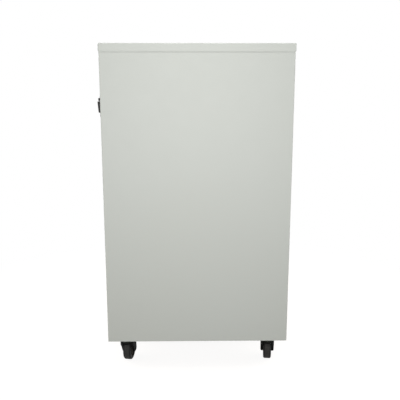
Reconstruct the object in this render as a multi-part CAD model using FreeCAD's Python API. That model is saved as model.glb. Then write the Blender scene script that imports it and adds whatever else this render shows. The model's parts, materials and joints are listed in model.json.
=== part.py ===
import FreeCAD, Part
from FreeCAD import Vector
import math
import os

# A floor cabinet on four swivel casters that holds four rack-mounted lithium iron phosphate battery modules.
# Millimetres. The origin lies on the floor, under the middle of the cabinet. +Z is up, the door faces -Y,
# and the door's lock is on the +X side.

# Cabinet
cabinet_width = 600.0
cabinet_depth = 600.0
body_height = 971.0
caster_height = 100.0
panel_sheet = 1.5
frame_sheet = 2.0
bend_radius = 1.5
fit_gap = 0.3
panel_return = 25.0
panel_lip = 10.0
sill_height = 45.0
header_height = 28.5
stop_depth = 22.0
stop_lip = 12.0
sill_foot = 50.0
post_flange = 36.2
post_web = 38.0
post_toe = 14.0

# Top cover
cover_sheet = 1.2
cover_flange = 24.0
cover_edge_radius = 3.0
top_opening_width = 420.0
top_opening_depth = 380.0

# Vent slots, cut in rows
vent_length = 90.0
vent_width = 5.0
vent_pitch = 14.0
vent_count = 7
vent_column_offset = 120.0
vent_edge_distance = 60.0

# Door
door_gap = 3.0
door_thickness = 20.0
door_rear_lip = 12.0
door_corner_radius = 2.0
pivot_inset_x = 6.0
pivot_inset_y = 6.0
pin_radius = 3.0
pin_clearance = 0.06
pin_reach = 7.0
pin_block_width = 14.0
pin_block_height = 14.0
bushing_radius = 6.5
bushing_height = 8.0
stiffener_width = 50.0
stiffener_depth = 15.0
stiffener_foot = 14.0
stiffener_end_gap = 30.0
buffer_size = 8.0
buffer_inset = 6.0

# Lock: a paddle that pops out of its plate and then turns a cam
lock_inset = 24.0
lock_rise = 762.0
lock_plate_width = 28.0
lock_plate_thickness = 6.0
lock_plate_below = 15.0
lock_plate_above = 50.0
lock_plate_corner = 5.0
lock_body_width = 22.0
lock_body_depth = 22.0
lock_body_margin = 4.0
spindle_radius = 6.0
spindle_clearance = 0.06
spindle_square = 7.0
spindle_end_proud = 1.0
tongue_width = 5.0
paddle_pin_radius = 1.5
paddle_pin_clearance = 0.05
paddle_foot_radius = 2.8
paddle_reach = 33.0
paddle_width = 17.0
paddle_tip_rise = 8.4
paddle_clearance = 0.3
paddle_trim = 1.0
button_radius = 4.7
button_clearance = 0.08
button_gap = 0.9
button_proud = 6.3
button_stem = 16.0
button_rim = 1.2
key_slot_length = 5.0
key_slot_width = 1.2
key_slot_depth = 2.5
cam_length = 32.0
cam_width = 15.0
cam_thickness = 3.0
cam_gap = 2.0

# Rear panel, the gland plate below it and its glands
rear_sheet = 1.5
gland_plate_sheet = 2.0
gland_height_above_sill = 70.0
gland_plate_seam = 0.6
gland_spacing = 80.0
gland_bore_radius = 10.5
gland_thread_radius = 15.9
gland_thread_length = 14.0
gland_nut_width = 40.0
gland_nut_height = 8.0
gland_dome_radius = 18.0
gland_dome_tip_radius = 14.0
gland_dome_length = 22.0
gland_locknut_height = 6.0

# Screws
screw_radius = 2.5
screw_head_width = 8.0
screw_head_height = 3.5
screw_length = 10.0
screw_clearance = 0.25
panel_screw_count = 4
panel_screw_end = 40.0
plate_screw_end = 25.0

# Rack: nineteen-inch rails, measured in units of height
rack_unit_height = 44.45
rack_hole_spacing = 465.1
rack_ear_margin = 8.75
rack_panel_sheet = 2.5
rack_panel_play = 0.4
rail_hole_margin = 7.55
rail_outer_margin = 29.45
rail_setback = 85.0
rail_depth = 38.0
rack_rise = 65.0
square_hole = 9.0
runner_shelf = 48.0
runner_leg = 26.0
shelf_play = 0.4

# Battery modules
module_count = 4
module_units = 4
module_side_play = 4.0
module_rear_space = 75.0
module_height = 174.0
case_sheet = 1.2
ear_screw_spacing = 101.6
ear_slot_length = 7.0
case_vent_count = 5
handle_block_gap = 5.2
handle_height = 100.0
handle_reach = 32.0
handle_bar = 4.0
handle_width = 12.0
handle_bend = 6.0
power_button_x = 60.0
power_button_drop = 12.0
power_button_radius = 8.0
power_button_clearance = 0.12
power_button_proud = 4.0
power_button_length = 14.0
port_x = -60.0
port_spacing = 24.0
port_width = 16.0
port_height = 14.0
port_depth = 18.0
port_proud = 1.0
port_recess = 10.0
port_wall = 1.6

# Cells
cell_side_room = 17.0
cell_length = 160.0
cell_height = 118.0
cell_gap = 0.8
row_gap = 1.0
cells_per_row = 8
link_bar_width = 18.0
link_bar_thickness = 3.0
link_bar_end = 22.0
board_half_width = 110.0
board_height = 70.0
board_sheet = 2.0
board_standoff = 26.0
standoff_side = 8.0
standoff_inset = 8.0

# Terminals, cable lugs and link cables
terminal_block_side = 30.0
terminal_block_proud = 12.0
terminal_block_depth = 4.0
stud_radius = 4.0
stud_square = 8.0
stud_reach = 14.0
stud_square_clearance = 0.1
stud_nut_width = 13.0
stud_nut_height = 6.5
lug_sheet = 2.5
lug_width = 18.0
lug_palm = 12.0
lug_heel = 8.0
lug_barrel_length = 15.0
lug_barrel_width = 13.0
lug_slot_clearance = 0.2
cable_radius = 6.0
cable_lean = 9.0
cable_bend_share = 0.45
output_spacing = 90.0
output_stud_radius = 5.0
output_stud_length = 25.0

# Distribution unit with the main breaker
distribution_units = 2
distribution_depth = 300.0
distribution_height = 84.0
breaker_width = 90.0
breaker_height = 54.0
breaker_depth = 66.0
breaker_proud = 6.0
breaker_window_gap = 0.4
toggle_pivot_depth = 6.0
toggle_pivot_radius = 6.0
toggle_slot_length = 34.0
toggle_slot_height = 24.0
toggle_slot_depth = 16.0
toggle_width = 20.0
toggle_reach = 17.0
toggle_neck = 6.0
toggle_pin_radius = 2.0
toggle_pin_clearance = 0.08
toggle_rest_angle = 35.0
busbar_width = 20.0
busbar_thickness = 4.0

# Casters
caster_inset_x = 55.0
caster_inset_y = 57.0
caster_trail = 25.0
front_caster_turn = 10.0
rear_caster_turn = 6.0
wheel_radius = 37.5
wheel_width = 26.5
wheel_edge_radius = 5.0
wheel_recess_depth = 5.0
wheel_recess_outer = 26.0
wheel_hub_radius = 11.0
wheel_hub_overhang = 1.2
axle_radius = 4.0
axle_clearance = 0.06
axle_play = 0.3
axle_head_radius = 5.0
axle_head_height = 2.0
axle_head_recess = 0.5
axle_head_room = 0.8
fork_half_width = 23.0
fork_lip_drop = 15.0
fork_wheel_room = 2.5
fork_foot_radius = 12.0
fork_foot_taper = 6.0
fork_front_hollow = 6.0
fork_tail = 30.0
fork_edge_radius = 3.0
fork_plate = 5.0
crown_gap = 5.0
cup_radius = 20.0
cup_height = 7.0
stem_radius = 6.0
stem_clearance = 0.06
stem_hex_width = 24.0
stem_play = 0.3
stem_head_radius = 9.0
stem_head_height = 3.0
stem_thread_length = 24.0
stem_nut_width = 19.0
stem_nut_height = 9.0
pad_width = 70.0
pad_depth = 46.0
pad_thickness = 5.0

# Places worked out from the sizes above
half_width = cabinet_width / 2
half_depth = cabinet_depth / 2
underside = caster_height
top = underside + body_height
lock_axis_height = underside + lock_rise
rack_bottom = underside + rack_rise
floor_top = underside + frame_sheet
roof_top = top - cover_sheet - fit_gap
roof_bottom = roof_top - frame_sheet
opening_half = half_width - panel_return
opening_bottom = underside + sill_height
opening_top = roof_top - header_height
stop_y = half_depth - stop_depth
frame_half_width = half_width - panel_sheet - fit_gap
frame_half_depth = half_depth - panel_lip - fit_gap
door_half = opening_half - door_gap
door_bottom = opening_bottom + door_gap
door_top = opening_top - door_gap
door_front = -half_depth
door_back = door_front + door_thickness
pivot_x = -door_half + pivot_inset_x
pivot_y = door_front + pivot_inset_y
lock_x = door_half - lock_inset
lock_face = door_front - lock_plate_thickness
rail_front = -half_depth + rail_setback
panel_front = rail_front - rack_panel_sheet
rack_panel_width = rack_hole_spacing + 2 * rack_ear_margin
rack_clear_width = rack_hole_spacing - 2 * rail_hole_margin
rail_outer_half = rack_hole_spacing / 2 + rail_outer_margin
module_width = rack_clear_width - 2 * module_side_play
module_depth = cabinet_depth - rail_setback - module_rear_space
module_pitch = module_units * rack_unit_height
distribution_bottom = rack_bottom + module_count * module_pitch
cell_block_half = module_width / 2 - case_sheet - cell_side_room
cell_width = (2 * cell_block_half - (cells_per_row - 1) * cell_gap) / cells_per_row
terminal_x = cell_block_half - cell_width / 2
handle_setout = terminal_x + terminal_block_side / 2 + handle_block_gap + handle_width / 2
block_front = panel_front - terminal_block_proud

X_AXIS = Vector(1, 0, 0)
Y_AXIS = Vector(0, 1, 0)
Z_AXIS = Vector(0, 0, 1)
ALONG_X = FreeCAD.Rotation(Vector(1, 1, 1), 120)
ALONG_Y = FreeCAD.Rotation(X_AXIS, 90)
TO_REAR = FreeCAD.Rotation(X_AXIS, -90)

os.makedirs("parts", exist_ok=True)


def box(x0, x1, y0, y1, z0, z1):
    """A block between two corners."""
    return Part.makeBox(x1 - x0, y1 - y0, z1 - z0, Vector(x0, y0, z0))


def rod(start, axis, radius, length):
    """A round bar from a point, along an axis."""
    return Part.makeCylinder(radius, length, start, axis)


def placed(shape, rotation, base):
    """A shape drawn flat in XY, turned and moved to its place."""
    moved = shape.copy()
    moved.Placement = FreeCAD.Placement(base, rotation)
    return moved


def mirrored_x(shape):
    return shape.mirror(Vector(0, 0, 0), X_AXIS)


def mirrored_y(shape):
    return shape.mirror(Vector(0, 0, 0), Y_AXIS)


def outline(points):
    """A flat face with straight edges, drawn in XY."""
    closed = points + points[:1]
    return Part.Face(Part.makePolygon([Vector(x, y, 0) for x, y in closed]))


def hexagon(width_across_flats, height):
    """A six-sided prism that stands on XY."""
    corner = width_across_flats / 2 / math.cos(math.radians(30))
    points = []
    for step in range(6):
        angle = math.radians(60 * step)
        points.append((corner * math.cos(angle), corner * math.sin(angle)))
    return outline(points).extrude(Vector(0, 0, height))


def rounded_edges(points, radii):
    """Straight runs through the points, joined by tangent arcs."""
    edges = []
    start = points[0]
    for before, corner, after, radius in zip(points, points[1:], points[2:], radii):
        back = (before - corner).normalize()
        ahead = (after - corner).normalize()
        half = back.getAngle(ahead) / 2
        first = corner + back * (radius / math.tan(half))
        last = corner + ahead * (radius / math.tan(half))
        middle = corner + (back + ahead).normalize() * (radius / math.sin(half) - radius)
        edges.append(Part.LineSegment(start, first).toShape())
        edges.append(Part.Arc(first, middle, last).toShape())
        start = last
    edges.append(Part.LineSegment(start, points[-1]).toShape())
    return edges


def folded(points, thickness, inner_radius, length):
    """A folded sheet. The points run along one face and the metal lies on their right."""
    line = [Vector(x, y, 0) for x, y in points]
    ways = [(b - a).normalize() for a, b in zip(line, line[1:])]
    sides = [Vector(way.y, -way.x, 0) for way in ways]
    other = [line[0] + sides[0] * thickness]
    near_radii = []
    far_radii = []
    for corner, way, next_way, side, next_side in zip(line[1:], ways, ways[1:], sides, sides[1:]):
        other.append(corner + (side + next_side) * (thickness / (1 + side.dot(next_side))))
        turns_right = way.cross(next_way).z < 0
        near_radii.append(inner_radius + thickness if turns_right else inner_radius)
        far_radii.append(inner_radius if turns_right else inner_radius + thickness)
    other.append(line[-1] + sides[-1] * thickness)
    edges = rounded_edges(line, near_radii)
    edges.append(Part.LineSegment(line[-1], other[-1]).toShape())
    edges += rounded_edges(other[::-1], far_radii[::-1])
    edges.append(Part.LineSegment(other[0], line[0]).toShape())
    face = Part.Face(Part.Wire(Part.__sortEdges__(edges)))
    return face.extrude(Vector(0, 0, length))


def slab(width, height, corner_radius, thickness):
    """A plate with round corners, centred on the origin, that rises from XY."""
    plate = Part.makeBox(width, height, thickness, Vector(-width / 2, -height / 2, 0))
    upright = [edge for edge in plate.Edges if abs(edge.Vertexes[0].Z - edge.Vertexes[1].Z) > thickness / 2]
    return plate.makeFillet(corner_radius, upright)


def save(name, solids):
    """One file for each named piece, or for a group of like pieces."""
    parts = []
    for shape in solids:
        parts += shape.Solids
    shape = parts[0] if len(parts) == 1 else Part.makeCompound(parts)
    shape.exportStep("parts/" + name + ".step")


def vents(y0, y1, z_first, column_x):
    """A column of level slots that goes through a sheet between two depths."""
    slots = []
    for step in range(vent_count):
        z = z_first + step * vent_pitch
        slots.append(box(column_x - vent_length / 2, column_x + vent_length / 2, y0, y1, z, z + vent_width))
    return slots


def screw(point, rotation):
    """A hexagon-head screw. Drawn with its head above XY and its shank below."""
    head = hexagon(screw_head_width, screw_head_height)
    shank = rod(Vector(0, 0, -screw_length), Z_AXIS, screw_radius, screw_length)
    return placed(head.fuse(shank), rotation, point)


# Side panels: one sheet each, folded round the front and rear edges
panel_path = [
    (opening_half, half_depth - panel_lip),
    (opening_half, half_depth),
    (half_width, half_depth),
    (half_width, -half_depth),
    (opening_half, -half_depth),
    (opening_half, -half_depth + panel_lip),
]
side_panel = folded(panel_path, panel_sheet, bend_radius, roof_bottom - underside)
side_panel.translate(Vector(0, 0, underside))
save("side_panel_right", [side_panel])
save("side_panel_left", [mirrored_x(side_panel)])

# Base frame: a floor with a sill along the front and the rear, and a thick pad over each caster
caster_x = half_width - caster_inset_x
caster_y = half_depth - caster_inset_y
sill_half = opening_half - fit_gap
post_inner = frame_half_width - post_flange


def edge_channel(height):
    """The front sill, with its outer face down on z = 0 and a stop lip that stands up behind the door."""
    path = [
        (-half_depth + sill_foot, 0),
        (-half_depth, 0),
        (-half_depth, height),
        (-stop_y, height),
        (-stop_y, height + stop_lip),
    ]
    channel = placed(folded(path, frame_sheet, bend_radius, 2 * sill_half), ALONG_X, Vector(-sill_half, 0, 0))
    for side in (-1, 1):
        edge = side * (post_inner - fit_gap)
        outer = side * half_width
        notch = box(min(edge, outer), max(edge, outer), -stop_y - fit_gap, 0, frame_sheet, height + 2 * stop_lip)
        channel = channel.cut(notch)
    return channel


sill = edge_channel(sill_height)
sill.translate(Vector(0, 0, underside))
floor = box(-frame_half_width, frame_half_width, -frame_half_depth, frame_half_depth, underside, floor_top)
base_frame = floor.multiFuse([sill, mirrored_y(sill)])
corners = [(1, -1), (1, 1), (-1, 1), (-1, -1)]
for side, end in corners:
    x = side * caster_x
    y = end * caster_y
    pad = box(x - pad_width / 2, x + pad_width / 2, y - pad_depth / 2, y + pad_depth / 2,
              floor_top, floor_top + pad_thickness)
    base_frame = base_frame.fuse(pad)
for side, end in corners:
    centre = Vector(side * caster_x, end * caster_y, underside)
    base_frame = base_frame.cut(rod(centre, Z_AXIS, stem_radius + stem_clearance, frame_sheet + pad_thickness))
floor_slots = []
for step in range(vent_count):
    y = (step - (vent_count - 1) / 2) * vent_pitch
    for side in (-1, 1):
        x = side * vent_column_offset
        floor_slots.append(box(x - vent_length / 2, x + vent_length / 2, y, y + vent_width, underside, floor_top))
pin_hole_depth = 2 * frame_sheet
low_pin_hole = rod(Vector(pivot_x, pivot_y, opening_bottom - pin_hole_depth), Z_AXIS,
                   pin_radius + pin_clearance, pin_hole_depth)
base_frame = base_frame.cut(Part.makeCompound(floor_slots)).cut(low_pin_hole).removeSplitter()
save("base_frame", [base_frame])

# Top frame: a ring under the cover with a header along the front and the rear
header = edge_channel(header_height).mirror(Vector(0, 0, 0), Z_AXIS)
header.translate(Vector(0, 0, roof_top))
roof = box(-frame_half_width, frame_half_width, -frame_half_depth, frame_half_depth, roof_bottom, roof_top)
roof_hole = slab(top_opening_width, top_opening_depth, panel_return, frame_sheet)
roof_hole.translate(Vector(0, 0, roof_bottom))
high_pin_hole = rod(Vector(pivot_x, pivot_y, opening_top), Z_AXIS, pin_radius + pin_clearance, pin_hole_depth)
top_frame = roof.multiFuse([header, mirrored_y(header)]).cut(roof_hole).cut(high_pin_hole).removeSplitter()
save("top_frame", [top_frame])

# Corner posts: their flanges stop the door and carry the rear panel
post_path = [
    (frame_half_width - post_toe, -stop_y + post_web),
    (frame_half_width, -stop_y + post_web),
    (frame_half_width, -stop_y),
    (post_inner, -stop_y),
]
post = folded(post_path, frame_sheet, bend_radius, roof_bottom - floor_top)
post.translate(Vector(0, 0, floor_top))
panel_screw_x = (post_inner + sill_half) / 2
gland_z = opening_bottom + gland_height_above_sill
plate_bottom = opening_bottom + bend_radius + fit_gap
plate_top = 2 * gland_z - plate_bottom
rear_bottom = plate_top + gland_plate_seam
rear_top = opening_top - bend_radius - fit_gap
screw_rise = (rear_top - rear_bottom - 2 * panel_screw_end) / (panel_screw_count - 1)
panel_screw_heights = [rear_bottom + panel_screw_end + step * screw_rise for step in range(panel_screw_count)]
plate_screw_heights = [plate_bottom + plate_screw_end, plate_top - plate_screw_end]
rear_post = mirrored_y(post)
for z in panel_screw_heights + plate_screw_heights:
    rear_post = rear_post.cut(rod(Vector(panel_screw_x, stop_y - frame_sheet, z), Y_AXIS,
                                  screw_radius + screw_clearance, frame_sheet))
save("corner_posts", [post, rear_post, mirrored_x(post), mirrored_x(rear_post)])

# Top cover: a tray turned upside down over the frame, a little wider than the panels
cover_half_x = half_width + fit_gap + cover_sheet
cover_half_y = half_depth + fit_gap + cover_sheet
cover_low = top - cover_flange
cover = box(-cover_half_x, cover_half_x, -cover_half_y, cover_half_y, cover_low, top)
outer_edges = [edge for edge in cover.Edges if edge.BoundBox.ZMax > top - cover_edge_radius]
cover = cover.makeFillet(cover_edge_radius, outer_edges)
cover_room = box(-half_width - fit_gap, half_width + fit_gap, -half_depth - fit_gap, half_depth + fit_gap,
                 cover_low, top - cover_sheet)
room_edges = [edge for edge in cover_room.Edges if edge.BoundBox.ZMax > top - 2 * cover_sheet]
cover = cover.cut(cover_room.makeFillet(cover_edge_radius - cover_sheet, room_edges))
save("top_cover", [cover])

# Rear panel, set in on the posts' rear flanges, above a thicker plate that carries the glands
rear_panel = box(-sill_half, sill_half, stop_y, stop_y + rear_sheet, rear_bottom, rear_top)
gland_plate = box(-sill_half, sill_half, stop_y, stop_y + gland_plate_sheet, plate_bottom, plate_top)
rear_cuts = []
high_vents = rear_top - vent_edge_distance - (vent_count - 1) * vent_pitch - vent_width
for column in (-vent_column_offset, vent_column_offset):
    rear_cuts += vents(stop_y, stop_y + rear_sheet, high_vents, column)
    rear_cuts += vents(stop_y, stop_y + rear_sheet, rear_bottom + vent_edge_distance, column)
for side in (-1, 1):
    for z in panel_screw_heights + plate_screw_heights:
        rear_cuts.append(rod(Vector(side * panel_screw_x, stop_y, z), Y_AXIS,
                             screw_radius + screw_clearance, gland_plate_sheet))
save("rear_panel", [rear_panel.cut(Part.makeCompound(rear_cuts))])

gland_holes = rear_cuts
gland_seat = stop_y + gland_plate_sheet
glands = []
for side in (-1, 1):
    x = side * gland_spacing / 2
    gland_holes.append(rod(Vector(x, stop_y, gland_z), Y_AXIS,
                           gland_thread_radius + screw_clearance, gland_plate_sheet))
    thread_start = Vector(x, gland_seat - gland_thread_length, gland_z)
    dome_start = Vector(x, gland_seat + gland_nut_height, gland_z)
    gland = placed(hexagon(gland_nut_width, gland_nut_height), ALONG_Y, dome_start)
    dome = Part.makeCone(gland_dome_radius, gland_dome_tip_radius, gland_dome_length, dome_start, Y_AXIS)
    thread = rod(thread_start, Y_AXIS, gland_thread_radius, gland_thread_length)
    locknut = placed(hexagon(gland_nut_width, gland_locknut_height), ALONG_Y, Vector(x, stop_y, gland_z))
    gland_length = gland_thread_length + gland_nut_height + gland_dome_length
    bore = rod(thread_start, Y_AXIS, gland_bore_radius, gland_length)
    glands.append(gland.multiFuse([dome, thread, locknut]).cut(bore))
save("gland_plate", [gland_plate.cut(Part.makeCompound(gland_holes))])
save("cable_glands", glands)

# Hinge bushings, welded under the sill's top and above the header's
low_seat = opening_bottom - frame_sheet
high_seat = opening_top + frame_sheet
bushings = []
for seat, way in ((low_seat, -1), (high_seat, 1)):
    ring = rod(Vector(pivot_x, pivot_y, seat), Vector(0, 0, way), bushing_radius - pin_clearance, bushing_height)
    hole = rod(Vector(pivot_x, pivot_y, seat), Vector(0, 0, way), pin_radius + pin_clearance, bushing_height)
    keep = box(pivot_x - bushing_radius, pivot_x + bushing_radius, -half_depth + frame_sheet + bend_radius, 0,
               min(seat, seat + way * bushing_height), max(seat, seat + way * bushing_height))
    bushings.append(ring.common(keep).cut(hole))
save("hinge_bushings", bushings)

# Door leaf: a pan with a folded edge and a lip round its back
leaf = box(-door_half, door_half, door_front, door_back, door_bottom, door_top)
front_edges = [edge for edge in leaf.Edges if edge.BoundBox.YMin < door_front + door_corner_radius]
leaf = leaf.makeFillet(door_corner_radius, front_edges)
leaf_room = box(-door_half + panel_sheet, door_half - panel_sheet, door_front + panel_sheet, door_back - panel_sheet,
                door_bottom + panel_sheet, door_top - panel_sheet)
leaf_mouth = box(-door_half + door_rear_lip, door_half - door_rear_lip, door_back - panel_sheet, door_back,
                 door_bottom + door_rear_lip, door_top - door_rear_lip)
lock_body_low = lock_axis_height - lock_plate_below + lock_body_margin
lock_body_high = lock_axis_height + lock_plate_above - lock_body_margin
lock_hole = box(lock_x - lock_body_width / 2 - fit_gap, lock_x + lock_body_width / 2 + fit_gap,
                door_front, door_front + panel_sheet, lock_body_low - fit_gap, lock_body_high + fit_gap)
door_cuts = [leaf_room, leaf_mouth, lock_hole]
door_high_vents = door_top - vent_edge_distance - (vent_count - 1) * vent_pitch - vent_width
for column in (-vent_column_offset, vent_column_offset):
    door_cuts += vents(door_front, door_front + panel_sheet, door_high_vents, column)
    door_cuts += vents(door_front, door_front + panel_sheet, door_bottom + vent_edge_distance, column)
hinge_hole = rod(Vector(pivot_x, pivot_y, door_bottom), Z_AXIS, pin_radius + pin_clearance, door_top - door_bottom)
for cutter in door_cuts + [hinge_hole]:
    leaf = leaf.cut(cutter)
save("door_leaf", [leaf])

# Door stiffener: a hat section up the middle of the leaf
crest = stiffener_width / 2
hat_path = [
    (crest + stiffener_foot, 0),
    (crest, 0),
    (crest, stiffener_depth),
    (-crest, stiffener_depth),
    (-crest, 0),
    (-crest - stiffener_foot, 0),
]
hat = folded([(x, y + panel_sheet) for x, y in hat_path], panel_sheet, bend_radius,
             door_top - door_bottom - 2 * stiffener_end_gap)
hat.translate(Vector(0, door_front + panel_sheet - hat.BoundBox.YMin, door_bottom + stiffener_end_gap))
save("door_stiffener", [hat])

# Hinge pins, each with the block that holds it inside the leaf
pins = []
for edge, way in ((door_bottom, 1), (door_top, -1)):
    pin_length = pin_reach + door_gap + panel_sheet + pin_block_height
    pin_start = Vector(pivot_x, pivot_y, edge - way * (pin_reach + door_gap))
    pin = rod(pin_start, Vector(0, 0, way), pin_radius, pin_length)
    inner = edge + way * panel_sheet
    block = box(-door_half + panel_sheet, -door_half + panel_sheet + pin_block_width,
                door_front + panel_sheet, door_back - panel_sheet,
                min(inner, inner + way * pin_block_height), max(inner, inner + way * pin_block_height))
    pins.append(block.fuse(pin))
save("door_hinge_pins", pins)

# Door buffers: two soft pads on the post behind the lock edge
buffers = []
buffer_x = door_half - buffer_inset
for z in (door_bottom + vent_edge_distance, door_top - vent_edge_distance):
    buffers.append(box(buffer_x - buffer_size / 2, buffer_x + buffer_size / 2, door_back + fit_gap, -stop_y,
                       z - buffer_size, z + buffer_size))
save("door_buffers", buffers)

# Lock housing: a face plate on the door and a body through it
plate_height = lock_plate_below + lock_plate_above
plate_centre = lock_axis_height + (lock_plate_above - lock_plate_below) / 2
lock_plate = placed(slab(lock_plate_width, plate_height, lock_plate_corner, lock_plate_thickness), ALONG_Y,
                    Vector(lock_x, door_front, plate_centre))
lock_body = box(lock_x - lock_body_width / 2, lock_x + lock_body_width / 2,
                door_front, door_front + lock_body_depth, lock_body_low, lock_body_high)
button_z = lock_axis_height + paddle_reach + button_gap + button_radius
lock_depth = lock_plate_thickness + lock_body_depth
spindle_hole = rod(Vector(lock_x, lock_face, lock_axis_height), Y_AXIS,
                   spindle_radius + spindle_clearance, lock_depth)
button_hole = rod(Vector(lock_x, lock_face, button_z), Y_AXIS, button_radius + button_clearance, lock_depth)
housing = lock_plate.fuse(lock_body).cut(spindle_hole).cut(button_hole).removeSplitter()
save("lock_housing", [housing])

# Lock rotor: a round spindle with a tongue in front that carries the paddle, and a square at the back for the cam
hinge_y = lock_face - paddle_foot_radius - paddle_clearance
cam_front = -stop_y + frame_sheet + cam_gap
spindle = rod(Vector(lock_x, lock_face, lock_axis_height), Y_AXIS, spindle_radius, cam_front - lock_face)
tongue = box(lock_x - tongue_width / 2, lock_x + tongue_width / 2, hinge_y, lock_face,
             lock_axis_height - paddle_foot_radius, lock_axis_height + paddle_foot_radius)
tongue_end = rod(Vector(lock_x - tongue_width / 2, hinge_y, lock_axis_height), X_AXIS,
                 paddle_foot_radius, tongue_width)
pin_length = paddle_width
paddle_pin = rod(Vector(lock_x - pin_length / 2, hinge_y, lock_axis_height), X_AXIS, paddle_pin_radius, pin_length)
square_end = box(lock_x - spindle_square / 2, lock_x + spindle_square / 2,
                 cam_front, cam_front + cam_thickness + spindle_end_proud,
                 lock_axis_height - spindle_square / 2, lock_axis_height + spindle_square / 2)
rotor = spindle.multiFuse([tongue, tongue_end, paddle_pin, square_end])
save("lock_rotor", [rotor])

# Lock cam: it hangs clear of the post at rest, and a quarter turn brings it behind the post's flange
cam = slab(cam_width, cam_length + cam_width / 2, cam_width / 4, cam_thickness)
cam_middle = lock_axis_height - (cam_length - cam_width / 2) / 2
cam = placed(cam, ALONG_Y, Vector(lock_x, cam_front + cam_thickness, cam_middle))
cam = cam.cut(box(lock_x - spindle_square / 2, lock_x + spindle_square / 2, cam_front, cam_front + cam_thickness,
                  lock_axis_height - spindle_square / 2, lock_axis_height + spindle_square / 2))
save("lock_cam", [cam])

# Lock paddle: a wedge, thin at its hinged foot and thick at its tip, where a thumb lifts it
back_y = hinge_y + paddle_foot_radius
wedge_points = [
    (back_y, lock_axis_height),
    (back_y, lock_axis_height + paddle_reach + paddle_trim),
    (lock_face - paddle_clearance - paddle_tip_rise, lock_axis_height + paddle_reach + paddle_trim),
    (hinge_y - paddle_foot_radius, lock_axis_height),
]
wedge = outline(wedge_points).extrude(Vector(0, 0, paddle_width))
wedge = placed(wedge, ALONG_X, Vector(lock_x - paddle_width / 2, 0, 0))
foot = rod(Vector(lock_x - paddle_width / 2, hinge_y, lock_axis_height), X_AXIS, paddle_foot_radius, paddle_width)
reach_disc = rod(Vector(lock_x, lock_face - 2 * paddle_tip_rise, lock_axis_height), Y_AXIS,
                 paddle_reach, 4 * paddle_tip_rise)
paddle = wedge.common(reach_disc).fuse(foot)
tip_low = lock_axis_height + paddle_reach / 2
tip_back = back_y - paddle_tip_rise / 2
tip_edges = [edge for edge in paddle.Edges if edge.BoundBox.ZMin > tip_low and edge.BoundBox.YMax < tip_back]
paddle = paddle.makeFillet(paddle_clearance * 4, tip_edges)
slot_half = tongue_width / 2 + paddle_clearance / 2
slot_reach = paddle_foot_radius + 2 * paddle_clearance
paddle = paddle.cut(box(lock_x - slot_half, lock_x + slot_half,
                        hinge_y - 3 * paddle_foot_radius, back_y + paddle_trim,
                        lock_axis_height - slot_reach, lock_axis_height + slot_reach))
paddle = paddle.cut(rod(Vector(lock_x - paddle_width / 2, hinge_y, lock_axis_height), X_AXIS,
                        paddle_pin_radius + paddle_pin_clearance, paddle_width))
save("lock_paddle", [paddle.removeSplitter()])

# Lock button: the round key barrel above the paddle, pushed in to let the paddle go
button_front = lock_face - button_proud
button = rod(Vector(lock_x, button_front, button_z), Y_AXIS, button_radius, button_proud + button_stem)
rim_edges = [edge for edge in button.Edges if edge.BoundBox.YMax < button_front + button_rim]
button = button.makeChamfer(button_rim / 2, rim_edges)
button = button.cut(box(lock_x - key_slot_width / 2, lock_x + key_slot_width / 2,
                        button_front, button_front + key_slot_depth,
                        button_z - key_slot_length / 2, button_z + key_slot_length / 2))
save("lock_button", [button])

# Rack rails: four angles with square holes for the module screws
rail_path = [
    (rail_outer_half, rail_front + rail_depth),
    (rail_outer_half, rail_front),
    (rack_clear_width / 2, rail_front),
]
rail = folded(rail_path, frame_sheet, bend_radius, roof_bottom - floor_top)
rail.translate(Vector(0, 0, floor_top))
ear_heights = []
for module in range(module_count):
    middle = rack_bottom + (module + 0.5) * module_pitch
    ear_heights += [middle - ear_screw_spacing / 2, middle + ear_screw_spacing / 2]
ear_heights.append(distribution_bottom + distribution_units * rack_unit_height / 2)
rail_holes = []
for z in ear_heights:
    rail_holes.append(box(rack_hole_spacing / 2 - square_hole / 2, rack_hole_spacing / 2 + square_hole / 2,
                          rail_front, rail_front + frame_sheet, z - square_hole / 2, z + square_hole / 2))
front_rail = rail.cut(Part.makeCompound(rail_holes))
rear_rail = mirrored_y(rail)
save("rack_rails", [front_rail, mirrored_x(front_rail), rear_rail, mirrored_x(rear_rail)])

# Support runners: an angle on each side under every unit, between the front and rear rails
shelf_levels = [rack_bottom + module * module_pitch + frame_sheet + shelf_play for module in range(module_count + 1)]
web_inner = rail_outer_half - frame_sheet
runner_half = -rail_front - frame_sheet - bend_radius
runners = []
for level in shelf_levels:
    path = [(web_inner - runner_shelf, level), (web_inner, level), (web_inner, level - runner_leg)]
    runner = placed(folded(path, frame_sheet, bend_radius, 2 * runner_half), ALONG_Y, Vector(0, runner_half, 0))
    runners += [runner, mirrored_x(runner)]
save("support_runners", runners)

# Battery modules: case, lid, front panel, handles, terminals, button, ports, cells and board
front_panels = []
lids = []
handles = []
blocks = {1: [], -1: []}
studs = []
ports = []
cells = []
cell_links = []
boards = []


def terminal(x, z, front, way):
    """A terminal block that stands out of a panel, with a stud that has a square neck. way is +1 to the rear."""
    half = terminal_block_side / 2
    depth = terminal_block_proud + rack_panel_sheet + terminal_block_depth
    rear = front - way * depth
    body = box(x - half, x + half, min(front, rear), max(front, rear), z - half, z + half)
    neck = stud_square / 2 + stud_square_clearance
    body = body.cut(box(x - neck, x + neck, min(front, rear), max(front, rear), z - neck, z + neck))
    return body


def stud(x, z, front, rear, radius, length, way):
    """A stud with a square neck from rear to front, and a round thread beyond the block's face."""
    half = stud_square / 2
    neck = box(x - half, x + half, min(front, rear), max(front, rear), z - half, z + half)
    return neck.fuse(rod(Vector(x, front, z), Vector(0, way, 0), radius, length))


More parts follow.
